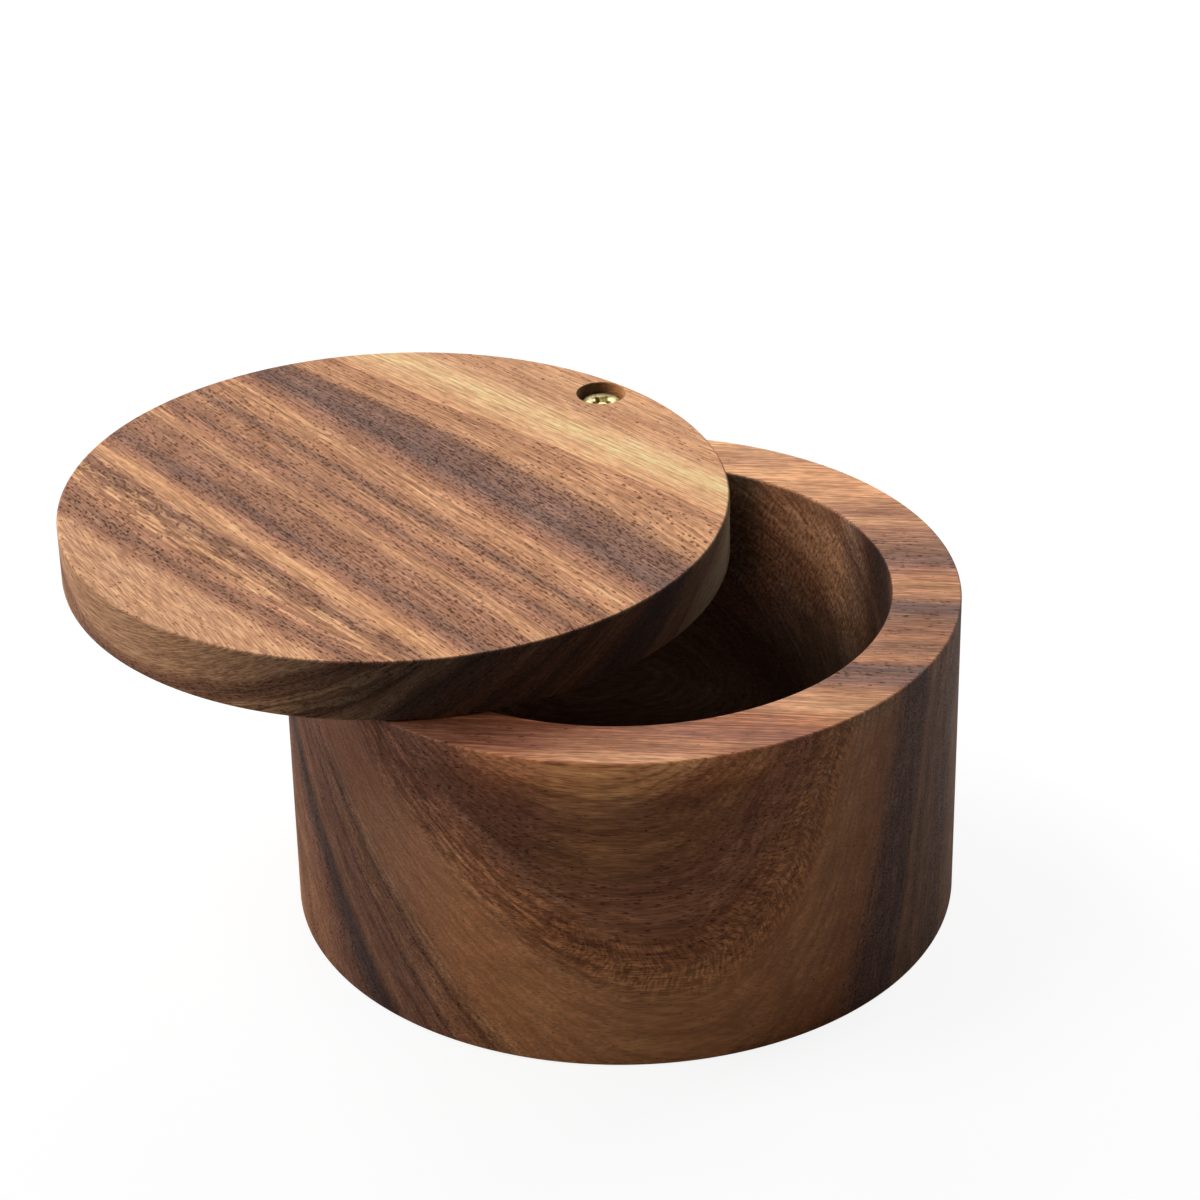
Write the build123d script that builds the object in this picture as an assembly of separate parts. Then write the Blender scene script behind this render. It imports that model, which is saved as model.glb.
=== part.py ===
from build123d import *
import math
import os

# Salt box in two pieces of turned wood. The bowl is one block, hollowed from above. The lid is a flat disc
# of the same width that rests on the rim and swivels sideways about one vertical screw near its edge.
#
# Units are millimetres. The origin is the centre of the bowl's flat base, and +Z is up. The screw stands
# on the +Y side of the rim. The lid is modelled part open, turned clockwise as seen from above.

# Bowl
BOWL_DIAMETER = 127.0
BOWL_HEIGHT = 64.0
WALL_THICKNESS = 13.0
FLOOR_THICKNESS = 11.0
COVE_RADIUS = 8.0  # between the inside wall and the floor
BASE_EASING = 0.8
RIM_EASING = 0.5

# Lid
LID_OVERHANG = 0.0  # how far the closed lid stands past the bowl's outer face
LID_THICKNESS = 12.0
LID_TOP_EASING = 0.5
LID_BOTTOM_EASING = 0.6
LID_GAP = 0.15  # between the rim and the lid, so that the lid turns freely
LID_OPEN_ANGLE = 46.0  # degrees, clockwise from closed

# Screw and washer
HEAD_DIAMETER = 8.0
HEAD_HEIGHT = 2.9
HEAD_SIDE_HEIGHT = 2.65  # up to the corner between the head's side and its low dome
HEAD_CORNER_RADIUS = 1.0
HEAD_SINK = 1.45  # from the lid's top face down to the top of the head
SHANK_DIAMETER = 4.2
SHANK_LENGTH = 10.5  # smooth part, from the underside of the head
SCREW_LENGTH = 32.0  # from the underside of the head to the point
THREAD_PITCH = 1.7
THREAD_ROOT_DIAMETER = 3.0
POINT_LENGTH = 4.0
POINT_RADIUS = 0.2
RECESS_SPAN = 4.6
RECESS_ARM_WIDTH = 1.1
RECESS_CORE_DIAMETER = 2.5
RECESS_DEPTH = 2.1
WASHER_DIAMETER = 9.0
WASHER_THICKNESS = 0.8

# Clearances and lands
COUNTERBORE_CLEARANCE = 0.4  # radial, around the head or the washer, whichever is wider
COUNTERBORE_EASING = 0.15
EDGE_LAND = 0.6  # wood left between the counterbore and the lid's edge
SHANK_CLEARANCE = 0.08  # radial, in the lid
WASHER_CLEARANCE = 0.1  # radial, around the shank
HEAD_PLAY = 0.15  # between the head and the washer
PILOT_CLEARANCE = 0.05  # radial, around the shank and the thread's root in the bowl
PILOT_END_GAP = 1.5  # below the screw's point

# Derived sizes
bowl_radius = BOWL_DIAMETER / 2
cavity_radius = bowl_radius - WALL_THICKNESS
lid_radius = bowl_radius + LID_OVERHANG
counterbore_radius = max(HEAD_DIAMETER, WASHER_DIAMETER) / 2 + COUNTERBORE_CLEARANCE
counterbore_depth = HEAD_SINK + HEAD_HEIGHT + HEAD_PLAY + WASHER_THICKNESS
pivot_distance = lid_radius - EDGE_LAND - counterbore_radius
shank_radius = SHANK_DIAMETER / 2
root_radius = THREAD_ROOT_DIAMETER / 2
lid_bottom = BOWL_HEIGHT + LID_GAP
lid_top = lid_bottom + LID_THICKNESS
counterbore_floor = lid_top - counterbore_depth
head_underside = lid_top - HEAD_SINK - HEAD_HEIGHT
shank_end = head_underside - SHANK_LENGTH
screw_point = head_underside - SCREW_LENGTH

ON_FLOOR = (Align.CENTER, Align.CENTER, Align.MIN)
HANGING = (Align.CENTER, Align.CENTER, Align.MAX)
pivot = Pos(0, pivot_distance, 0)


def rod(radius, low, high):
    """A cylinder about the Z axis between two heights."""
    return Pos(0, 0, low) * Cylinder(radius, high - low, align=ON_FLOOR)


def ring_edges(solid, radius, height):
    """The circular edges about the Z axis with this radius at this height."""
    circles = solid.edges().filter_by(GeomType.CIRCLE)
    return [
        edge for edge in circles
        if abs(edge.radius - radius) < 1e-4 and abs(edge.arc_center.Z - height) < 1e-4
    ]


def make_bowl():
    """The bowl, with its cavity, its eased edges and the stepped pilot hole for the screw."""
    cavity = rod(cavity_radius, FLOOR_THICKNESS, BOWL_HEIGHT)
    cavity = fillet(ring_edges(cavity, cavity_radius, FLOOR_THICKNESS), COVE_RADIUS)
    bowl = rod(bowl_radius, 0, BOWL_HEIGHT) - cavity
    rim = ring_edges(bowl, bowl_radius, BOWL_HEIGHT) + ring_edges(bowl, cavity_radius, BOWL_HEIGHT)
    bowl = fillet(rim, RIM_EASING)
    bowl = fillet(ring_edges(bowl, bowl_radius, 0), BASE_EASING)
    shank_hole = rod(shank_radius + PILOT_CLEARANCE, shank_end, BOWL_HEIGHT)
    thread_hole = rod(root_radius + PILOT_CLEARANCE, screw_point - PILOT_END_GAP, BOWL_HEIGHT)
    return bowl - pivot * (shank_hole + thread_hole)


def make_lid():
    """The lid where it lies when closed, with its eased edges and the counterbored hole for the screw."""
    lid = rod(lid_radius, lid_bottom, lid_top)
    lid = fillet(ring_edges(lid, lid_radius, lid_top), LID_TOP_EASING)
    lid = fillet(ring_edges(lid, lid_radius, lid_bottom), LID_BOTTOM_EASING)
    counterbore = rod(counterbore_radius, counterbore_floor, lid_top)
    shank_hole = rod(shank_radius + SHANK_CLEARANCE, lid_bottom, lid_top)
    lid -= pivot * (counterbore + shank_hole)
    return fillet(ring_edges(lid, counterbore_radius, lid_top), COUNTERBORE_EASING)


def make_washer():
    """The flat washer on the counterbore's floor."""
    top = counterbore_floor + WASHER_THICKNESS
    hole = rod(shank_radius + WASHER_CLEARANCE, counterbore_floor, top)
    return pivot * (rod(WASHER_DIAMETER / 2, counterbore_floor, top) - hole)


def make_head():
    """The pan head, nearly flat on top, with its underside at Z = 0 and no recess."""
    radius = HEAD_DIAMETER / 2
    rise = HEAD_HEIGHT - HEAD_SIDE_HEIGHT
    dome_radius = (radius**2 + rise**2) / (2 * rise)
    dome = Pos(0, 0, HEAD_HEIGHT - dome_radius) * Sphere(dome_radius)
    head = rod(radius, 0, HEAD_HEIGHT) & dome
    return fillet(ring_edges(head, radius, HEAD_SIDE_HEIGHT), HEAD_CORNER_RADIUS)


def make_recess():
    """The cross recess as a solid to cut away, with its mouth at Z = 0 and its arms between the X and Y axes."""
    floor_radius = RECESS_ARM_WIDTH / 2
    arm = Box(RECESS_SPAN, RECESS_ARM_WIDTH, RECESS_DEPTH, align=HANGING)
    span_cone = Cone(floor_radius, RECESS_SPAN / 2, RECESS_DEPTH, align=HANGING)
    core = Cone(floor_radius, RECESS_CORE_DIAMETER / 2, RECESS_DEPTH, align=HANGING)
    cross = (arm + Rot(0, 0, 90) * arm) & span_cone
    return Rot(0, 0, 45) * (cross + core)


def make_thread():
    """The threaded end, drawn as a stack of rings one pitch apart on the root, with a conical point."""
    taper_start = screw_point + POINT_LENGTH
    ring_count = math.floor((shank_end - taper_start) / THREAD_PITCH)
    half_flank = THREAD_PITCH / 4
    outline = [(0, screw_point), (POINT_RADIUS, screw_point), (root_radius, taper_start)]
    for ring in range(ring_count):
        crest = taper_start + (ring + 0.5) * THREAD_PITCH
        outline += [(root_radius, crest - half_flank), (shank_radius, crest), (root_radius, crest + half_flank)]
    outline += [(root_radius, shank_end), (0, shank_end)]
    return revolve(Plane.XZ * make_face(Polyline(*outline, close=True)), Axis.Z)


def make_screw():
    """The screw: head with cross recess, smooth shank through the lid, and threaded end in the bowl's wall."""
    head = Pos(0, 0, head_underside) * (make_head() - Pos(0, 0, HEAD_HEIGHT) * make_recess())
    return pivot * (head + rod(shank_radius, shank_end, head_underside) + make_thread())


def opened(piece):
    """A piece of the closed lid, turned about the screw to where the lid is modelled."""
    return pivot * Rot(0, 0, -LID_OPEN_ANGLE) * pivot.inverse() * piece


nodes = {
    "bowl": make_bowl(),
    "lid": opened(make_lid()),
    "pivot_screw": make_screw(),
    "screw_washer": opened(make_washer()),
}

os.makedirs("parts", exist_ok=True)
for name, solid in nodes.items():
    export_step(solid, f"parts/{name}.step")
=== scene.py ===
"""Looks of a round salt box: an oiled acacia bowl, and a flat acacia lid that swivels on one brass screw.

Sizes are in millimetres and become metres where a mesh, a lamp or the camera is made. The frame is the
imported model's own: the origin is the centre of the bowl's base, +Z is up, and the screw is on the +Y side.
"""
import logging
import math
from collections.abc import Callable, Mapping, Sequence
from dataclasses import dataclass
from enum import Enum

import bmesh
import bpy
from mathutils import Matrix, Vector


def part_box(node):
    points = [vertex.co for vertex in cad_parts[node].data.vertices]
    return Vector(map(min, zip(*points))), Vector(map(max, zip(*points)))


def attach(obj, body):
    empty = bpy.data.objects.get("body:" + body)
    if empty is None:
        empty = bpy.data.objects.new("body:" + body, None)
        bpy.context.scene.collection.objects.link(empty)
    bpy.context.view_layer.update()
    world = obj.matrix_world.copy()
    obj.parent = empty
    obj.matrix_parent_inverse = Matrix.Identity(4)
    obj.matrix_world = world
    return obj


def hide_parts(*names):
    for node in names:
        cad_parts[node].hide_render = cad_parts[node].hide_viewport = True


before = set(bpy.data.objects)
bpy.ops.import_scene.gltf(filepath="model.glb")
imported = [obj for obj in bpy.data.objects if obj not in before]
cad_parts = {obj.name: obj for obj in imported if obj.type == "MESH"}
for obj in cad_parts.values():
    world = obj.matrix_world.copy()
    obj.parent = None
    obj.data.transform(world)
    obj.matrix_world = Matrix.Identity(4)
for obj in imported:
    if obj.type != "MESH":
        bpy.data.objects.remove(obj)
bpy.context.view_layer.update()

MM = 0.001
SNAP = 0.03  # how near, in millimetres, a corner has to lie to a ring to belong to it
CLEAR = 1.0  # how far, in millimetres, a cutter stands past the face that it opens
CRUMB = 0.002  # edges that a cut leaves shorter than this, in millimetres, are closed up
EDGE_SEGMENTS = 5  # how many facets round off a turned edge
HOLE_SIDES = 96
NOISE_SPAN = (0.3, 0.7)  # where nearly all the values of a noise lie
SMOOTH_ANGLE = math.radians(36)

log = logging.getLogger("salt_box")

Tree = bpy.types.NodeTree
Node = bpy.types.Node
Socket = bpy.types.NodeSocket
Feed = Node | Socket | float | Sequence[float]
Colour = tuple[float, float, float, float]
Triple = tuple[float, float, float]
Range = tuple[float, float]  # where something begins, and where it is full


# ---------------------------------------------------------------------------------------------------------
# Colour and nodes
# ---------------------------------------------------------------------------------------------------------

def linear(hex_code: str) -> Colour:
    """Turn an sRGB colour into the linear one that shaders take.

    Args:
        hex_code: Six hexadecimal digits, with or without a leading #.

    Returns:
        Red, green, blue and an alpha of 1.
    """
    digits = hex_code.lstrip("#")
    channels = [int(digits[place:place + 2], 16) / 255 for place in (0, 2, 4)]
    red, green, blue = (c / 12.92 if c <= 0.04045 else ((c + 0.055) / 1.055) ** 2.4 for c in channels)
    return red, green, blue, 1.0


def add_node(
    tree: Tree,
    kind: str,
    inputs: Mapping[str | int, Feed] | Sequence[Feed] = (),
    **settings: object,
) -> Node:
    """Add one node to a tree, with its settings, values and links.

    Args:
        tree: The tree that the node joins.
        kind: The node's type without its ShaderNode prefix.
        inputs: What the inputs take, in order, or by an input's name or place. Each is a value, a socket, or
            a node, which stands for its first output.
        **settings: The node's own properties, such as operation.

    Returns:
        The new node.
    """
    node = tree.nodes.new("ShaderNode" + kind)
    for name, value in settings.items():
        setattr(node, name, value)
    sockets = [socket for socket in node.inputs if socket.enabled]
    named = inputs.items() if isinstance(inputs, Mapping) else enumerate(inputs)
    for key, feed in named:
        socket = sockets[key] if isinstance(key, int) else next(s for s in sockets if s.name == key)
        if isinstance(feed, Node):
            feed = next(output for output in feed.outputs if output.enabled)
        if isinstance(feed, Socket):
            tree.links.new(feed, socket)
        else:
            socket.default_value = feed
    return node


def new_material(name: str) -> bpy.types.Material:
    """Start an empty node material of this name."""
    material = bpy.data.materials.new(name)
    material.use_nodes = True
    material.node_tree.nodes.clear()
    return material


# ---------------------------------------------------------------------------------------------------------
# Wood
# ---------------------------------------------------------------------------------------------------------

class Tone(Enum):
    """Tones of oiled acacia, from pale sapwood to slate heartwood, each with its share of open pores."""

    CREAM = ("#FECA8F", 0.15)
    STRAW = ("#F5BB85", 0.20)
    GOLD = ("#E7A472", 0.30)
    TAN = ("#DFA275", 0.35)
    HONEY = ("#CE9165", 0.40)
    CINNAMON = ("#C1845C", 0.50)
    RUSSET = ("#B47857", 0.60)
    COCOA = ("#A66F50", 0.75)
    UMBER = ("#97674A", 0.90)
    TAUPE = ("#885E4B", 1.00)
    SLATE = ("#715043", 1.00)

    def stop(self) -> Colour:
        """The tone as a ramp's stop: linear colour, with the share of open pores as its alpha."""
        hex_code, pores = self.value
        return linear(hex_code)[:3] + (pores,)


RAMP_STOPS = 32  # a colour ramp holds no more


@dataclass(frozen=True)
class Acacia:
    """Oiled acacia, sawn as one block and turned: straight slate streaks in tan wood, open dark pores.

    To the eye it is satin and warm, its layers run on over every edge as in solid wood, and its end grain is
    darker than its long grain, a tint that also carries painted shade and a painted cool sheen. The grain
    runs along X in the block's own axes, and the layers are crossed along the depth that layer_depth gives.
    All lengths are in millimetres.
    """

    name: str
    layers: tuple[tuple[float, Tone], ...]
    turn: float = 0.0  # how far the block is turned back about the pivot to its own axes, in radians
    pivot: tuple[float, float] = (0.0, 0.0)
    wander: float = 2.6  # how far a layer strays from its course
    wander_cell: Triple = (60.0, 16.0, 16.0)
    fray: float = 2.4  # how far its edge frays
    fray_cell: Triple = (6.0, 0.8, 1.6)
    variation: tuple[tuple[Triple, float, float], ...] = (
        ((22.0, 0.6, 7.0), 3.0, 0.74),  # sheets
        ((6.0, 0.24, 0.24), 2.0, 0.90),  # fibres
        ((2.4, 0.6, 0.6), 1.0, 0.44),  # flecks
        ((16.0, 4.0, 4.0), 2.0, 0.42),  # clouds
    )  # the cell of each, how fine its detail is, and how far it swings the colour
    red_swing: float = 0.86  # a power: the red swings less than the green,
    blue_swing: float = 1.12  # and the blue more, so that darker wood is warmer
    veins: tuple[tuple[float, float, Tone], ...] = ()  # thin lines: depth, half width and tone
    pore_cells: tuple[Triple, ...] = ((1.9, 0.52, 0.52), (1.3, 0.42, 0.42))  # coarse, so that they show
    pore_radius: float = 0.40  # as a share of a pore's cell
    pore_edge: float = 0.13  # how soft its edge is, as a share too
    pore_plenty: float = 1.0
    pore_onset: Range = (-0.05, 0.4)  # how far the plenty passes a cell's own chance of a pore
    pore_tint: Triple = (0.30, 0.23, 0.21)
    pore_depth: float = 0.08
    pore_roughness: float = 0.3  # what a pore adds to the roughness
    fibre_relief: float = 0.35  # how high the fibres stand, as a share of the pores' depth
    roughness: float = 0.55
    roughness_swing: float = 0.06
    # the end grain's darkening, which a block's setting also uses for painted shade and a painted cool sheen
    end_grain_and_shade_tint: Triple = (0.4, 0.4, 0.4)
    end_grain_and_shade_faces: Range = (0.2, 1.0)  # how squarely faces meet the grain as the tint comes in
    far_end_share: float = 0.25  # how much of the tint the other end takes
    end_grain_roughness: float = 0.0  # what the cut fibres add to the roughness
    fibre_lean: float = 0.0  # how far the fibres slant from the layers, in degrees

    def material(self) -> bpy.types.Material:
        """Build the block's material.

        Returns:
            A material whose pattern follows Object coordinates.
        """
        material = new_material(self.name)
        tree = material.node_tree
        place = self.block_place(tree)
        along, across, height = add_node(tree, "SeparateXYZ", (place,)).outputs
        depth = self.layer_depth(tree, place, along, across, height)
        depth = self.strayed(tree, place, depth, self.wander, self.wander_cell)
        frayed = self.strayed(tree, place, depth, self.fray, self.fray_cell)
        colour, pore_share = self.block_colour(tree, frayed, along, height)
        colour = self.veined(tree, colour, depth)
        colour = self.figure(tree, colour, place, depth)
        lean = self.streak_lean(tree, along, across, depth)
        evenness = self.evenness(tree, depth, height)
        colour, fibre = self.fine_grain(tree, colour, evenness, along, lean, height)
        colour, pore = self.pores(tree, colour, pore_share, along, lean, height)
        colour, cut = self.end_grain_and_shade(tree, colour)
        colour, rough = self.worked_faces(tree, colour, pore, place)
        rough = add_node(tree, "Math", (cut, self.end_grain_roughness, rough), operation="MULTIPLY_ADD")
        relief = self.relief(tree, fibre, pore)
        shader = add_node(tree, "BsdfPrincipled", {
            "Base Color": colour, "Roughness": rough, "Normal": relief,
            "IOR": 1.46, "Specular IOR Level": 0.25,
        })
        add_node(tree, "OutputMaterial", (shader,))
        return material

    def block_place(self, tree: Tree) -> Node:
        """Give each point's place in the block's own axes, in millimetres."""
        back = Matrix.Rotation(self.turn, 2) @ Vector(self.pivot)
        shift = (self.pivot[0] - back.x, self.pivot[1] - back.y, 0.0)
        place = add_node(tree, "TexCoord").outputs["Object"]
        return add_node(tree, "Mapping", {
            "Vector": place, "Location": shift, "Rotation": (0.0, 0.0, self.turn), "Scale": (1 / MM,) * 3,
        })

    def layer_depth(self, tree: Tree, place: Feed, along: Feed, across: Feed, height: Feed) -> Node:
        """Give how deep each point lies across the growth layers. Each block has its own."""
        raise NotImplementedError

    def stretched_noise(self, tree: Tree, cell: Triple, axes: Sequence[Feed], detail: float) -> Node:
        """Give noise whose cells are long one way, as grain is.

        Args:
            tree: The material's tree.
            cell: The cell's size along each axis.
            axes: The three coordinates that the noise runs along.
            detail: How many finer layers the noise has.

        Returns:
            The noise node.
        """
        where = add_node(tree, "CombineXYZ", axes)
        scaled = add_node(tree, "VectorMath", (where, cell), operation="DIVIDE")
        return add_node(tree, "TexNoise", {"Vector": scaled, "Scale": 1.0, "Detail": detail})

    def strayed(self, tree: Tree, place: Feed, depth: Feed, reach: float, cell: Triple) -> Node:
        """Let the layers stray from their course.

        Args:
            tree: The material's tree.
            place: The point in the block's own axes.
            depth: The point's depth across the layers.
            reach: How far the noise moves a layer.
            cell: The noise's cell in the block's own axes.

        Returns:
            The new depth.
        """
        scaled = add_node(tree, "VectorMath", (place, cell), operation="DIVIDE")
        stray = add_node(tree, "TexNoise", {"Vector": scaled, "Scale": 1.0, "Detail": 3.0})
        stray = add_node(tree, "Math", (stray, 0.5), operation="SUBTRACT")
        return add_node(tree, "Math", (stray, reach, depth), operation="MULTIPLY_ADD")

    def block_colour(self, tree: Tree, depth: Feed, along: Feed, height: Feed) -> tuple[Feed, Feed]:
        """Colour the whole block by its layers. Gives the colour and the share of open pores."""
        return self.layered_colour(tree, depth, self.layers)

    def layered_colour(
        self, tree: Tree, depth: Feed, layers: tuple[tuple[float, Tone], ...],
    ) -> tuple[Socket, Socket]:
        """Colour growth layers by their depth.

        Args:
            tree: The material's tree.
            depth: The point's depth across the layers.
            layers: Where each tone lies.

        Returns:
            The layers' colour, and their share of open pores.
        """
        return self.ramp(tree, depth, [(at, tone.stop()) for at, tone in layers])

    def veined(self, tree: Tree, colour: Feed, depth: Feed) -> Feed:
        """Draw the veins, which keep to their layer and do not fray."""
        if not self.veins:
            return colour
        stops: list[tuple[float, Colour]] = []
        for at, reach, tone in self.veins:
            paint = tone.stop()[:3]
            stops += [(at - reach, paint + (0.0,)), (at, paint + (1.0,)), (at + reach, paint + (0.0,))]
        vein, share = self.ramp(tree, depth, stops)
        return add_node(tree, "Mix", (share, colour, vein), data_type="RGBA")

    def ramp(self, tree: Tree, depth: Feed, stops: Sequence[tuple[float, Colour]]) -> tuple[Socket, Socket]:
        """Lay colours along the depth, over as many colour ramps as they need.

        Args:
            tree: The material's tree.
            depth: The depth in millimetres.
            stops: The depth of each colour, in order.

        Returns:
            The colour and its alpha.
        """
        ramps: list[Node] = []
        for start in range(0, len(stops) - 1, RAMP_STOPS - 1):
            part = stops[start:start + RAMP_STOPS]
            low, high = part[0][0], part[-1][0]
            share = add_node(tree, "MapRange", (depth, low, high))
            ramp = add_node(tree, "ValToRGB", (share,))
            elements = ramp.color_ramp.elements
            while len(elements) < len(part):
                elements.new(1.0)
            for element, (at, colour) in zip(elements, part):
                element.position = (at - low) / (high - low)
                element.color = colour
            ramps.append(ramp)
        colour, alpha = ramps[0].outputs
        for start, ramp in enumerate(ramps[1:], 1):
            border = stops[start * (RAMP_STOPS - 1)][0]
            past = add_node(tree, "Math", (depth, border), operation="GREATER_THAN")
            colour = add_node(tree, "Mix", (past, colour, ramp.outputs["Color"]), data_type="RGBA")
            alpha = add_node(tree, "Mix", (past, alpha, ramp.outputs["Alpha"]))
        return colour, alpha

    def figure(self, tree: Tree, colour: Feed, place: Feed, depth: Feed) -> Feed:
        """Draw what is this block's own. A plain block has no figure."""
        return colour

    def streak_lean(self, tree: Tree, along: Feed, across: Feed, depth: Feed) -> Feed:
        """Give the depth that the fine grain follows. A plain block's grain follows its layers."""
        return depth

    def evenness(self, tree: Tree, depth: Feed, height: Feed) -> Feed:
        """Give how plain the wood is, from 0 to 1. An ordinary block is lively throughout."""
        return 0.0

    def fine_grain(
        self, tree: Tree, colour: Feed, evenness: Feed, along: Feed, depth: Feed, height: Feed,
    ) -> tuple[Node, Node]:
        """Vary the colour in thin sheets between the layers, in single fibres and in broad clouds.

        Args:
            tree: The material's tree.
            colour: The layers' colour.
            evenness: How much of the variation is left out.
            along: The place along the grain.
            depth: The depth that the grain follows.
            height: The height in the block.

        Returns:
            The varied colour and the fibre noise.
        """
        light: Feed = 1.0
        noises: list[Node] = []
        for cell, detail, weight in self.variation:
            noise = self.stretched_noise(tree, cell, (along, depth, height), detail)
            swing = add_node(tree, "MapRange", (noise, *NOISE_SPAN, 1 - weight / 2, 1 + weight / 2))
            light = add_node(tree, "Math", (light, swing), operation="MULTIPLY")
            noises.append(noise)
        light = add_node(tree, "Mix", (evenness, light, 1.0))
        red = add_node(tree, "Math", (light, self.red_swing), operation="POWER")
        blue = add_node(tree, "Math", (light, self.blue_swing), operation="POWER")
        tint = add_node(tree, "CombineXYZ", (red, light, blue))
        return add_node(tree, "VectorMath", (colour, tint), operation="MULTIPLY"), noises[1]

    def pores(
        self, tree: Tree, colour: Feed, pore_share: Feed,
        along: Feed, depth: Feed, height: Feed,
    ) -> tuple[Node, Node]:
        """Open the pores: dark dashes on long grain, and dots on end grain.

        Args:
            tree: The material's tree.
            colour: The wood's colour.
            pore_share: How open the layer's pores are, from 0 to 1.
            along: The place along the grain.
            depth: The depth that the grain follows.
            height: The height in the block.

        Returns:
            The colour with its pores, and how far each point lies in a pore, from 0 to 1.
        """
        where = add_node(tree, "CombineXYZ", (along, depth, height))
        plenty = add_node(tree, "Math", (pore_share, self.pore_plenty), operation="MULTIPLY")
        pore: Feed = 0.0
        for cell in self.pore_cells:
            scaled = add_node(tree, "VectorMath", (where, cell), operation="DIVIDE")
            cells = add_node(tree, "TexVoronoi", {"Vector": scaled, "Scale": 1.0, "Randomness": 1.0})
            chance = add_node(tree, "SeparateXYZ", (cells.outputs["Color"],))
            spare = add_node(tree, "Math", (plenty, chance), operation="SUBTRACT")
            size = add_node(tree, "MapRange", (spare, *self.pore_onset, 0.0, self.pore_radius))
            inside = add_node(tree, "Math", (size, cells.outputs["Distance"]), operation="SUBTRACT")
            inside = add_node(tree, "MapRange", (inside, 0.0, self.pore_edge))
            pore = add_node(tree, "Math", (pore, inside), operation="MAXIMUM")
        dark = add_node(tree, "VectorMath", (colour, self.pore_tint), operation="MULTIPLY")
        return add_node(tree, "Mix", (pore, colour, dark), data_type="RGBA"), pore

    def end_grain_and_shade(self, tree: Tree, colour: Feed) -> tuple[Node, Node]:
        """Darken the faces that cut across the fibres, which drink more oil, and paint shade and sheen with
        the same tint.

        Args:
            tree: The material's tree.
            colour: The wood's colour.

        Returns:
            The colour, and how squarely each point's face is cut, from 0 to 1.
        """
        course = math.radians(self.fibre_lean) - self.turn
        grain = (math.cos(course), math.sin(course), 0.0)
        normal = add_node(tree, "TexCoord").outputs["Normal"]
        facing = add_node(tree, "VectorMath", (normal, grain), operation="DOT_PRODUCT")
        facing = facing.outputs["Value"]
        begin, end = self.end_grain_and_shade_faces
        near = add_node(tree, "MapRange", (facing, begin, end), interpolation_type="SMOOTHSTEP")
        far = add_node(tree, "MapRange", (facing, -begin, -end, 0.0, self.far_end_share))
        share = add_node(tree, "Math", (near, far), operation="ADD")
        dark = add_node(tree, "VectorMath", (colour, self.end_grain_and_shade_tint), operation="MULTIPLY")
        return add_node(tree, "Mix", (share, colour, dark), data_type="RGBA"), share

    def worked_faces(self, tree: Tree, colour: Feed, pore: Feed, place: Feed) -> tuple[Feed, Feed]:
        """Give the colour and the roughness as the tool and the oil left them.

        Args:
            tree: The material's tree.
            colour: The wood's colour.
            pore: How far a point lies in a pore.
            place: The point in the block's own axes.

        Returns:
            The colour and the roughness.
        """
        smooth, coarse = self.roughness - self.roughness_swing, self.roughness + self.roughness_swing
        cloud = add_node(tree, "TexNoise", {"Vector": place, "Scale": 0.12, "Detail": 3.0})
        rough = add_node(tree, "MapRange", (cloud, *NOISE_SPAN, smooth, coarse))
        return colour, add_node(tree, "Math", (pore, self.pore_roughness, rough), operation="MULTIPLY_ADD")

    def relief(self, tree: Tree, fibre: Feed, pore: Feed) -> Node:
        """Sink the pores and raise the fibres a little."""
        height = add_node(tree, "Math", (pore, -1.0), operation="MULTIPLY")
        height = add_node(tree, "Math", (fibre, self.fibre_relief, height), operation="MULTIPLY_ADD")
        return add_node(tree, "Bump", {"Strength": 0.7, "Distance": self.pore_depth * MM, "Height": height})


@dataclass(frozen=True)
class Patch:
    """A patch of the bowl's rim, side or hollow whose tone differs: some are the wood's own, some painted
    light and shade.
    """

    angles: tuple[Range, ...]  # its two soft edges, in degrees from +X; none where it goes all round
    heights: Range  # its soft upper or lower edge
    tint: Triple


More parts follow.
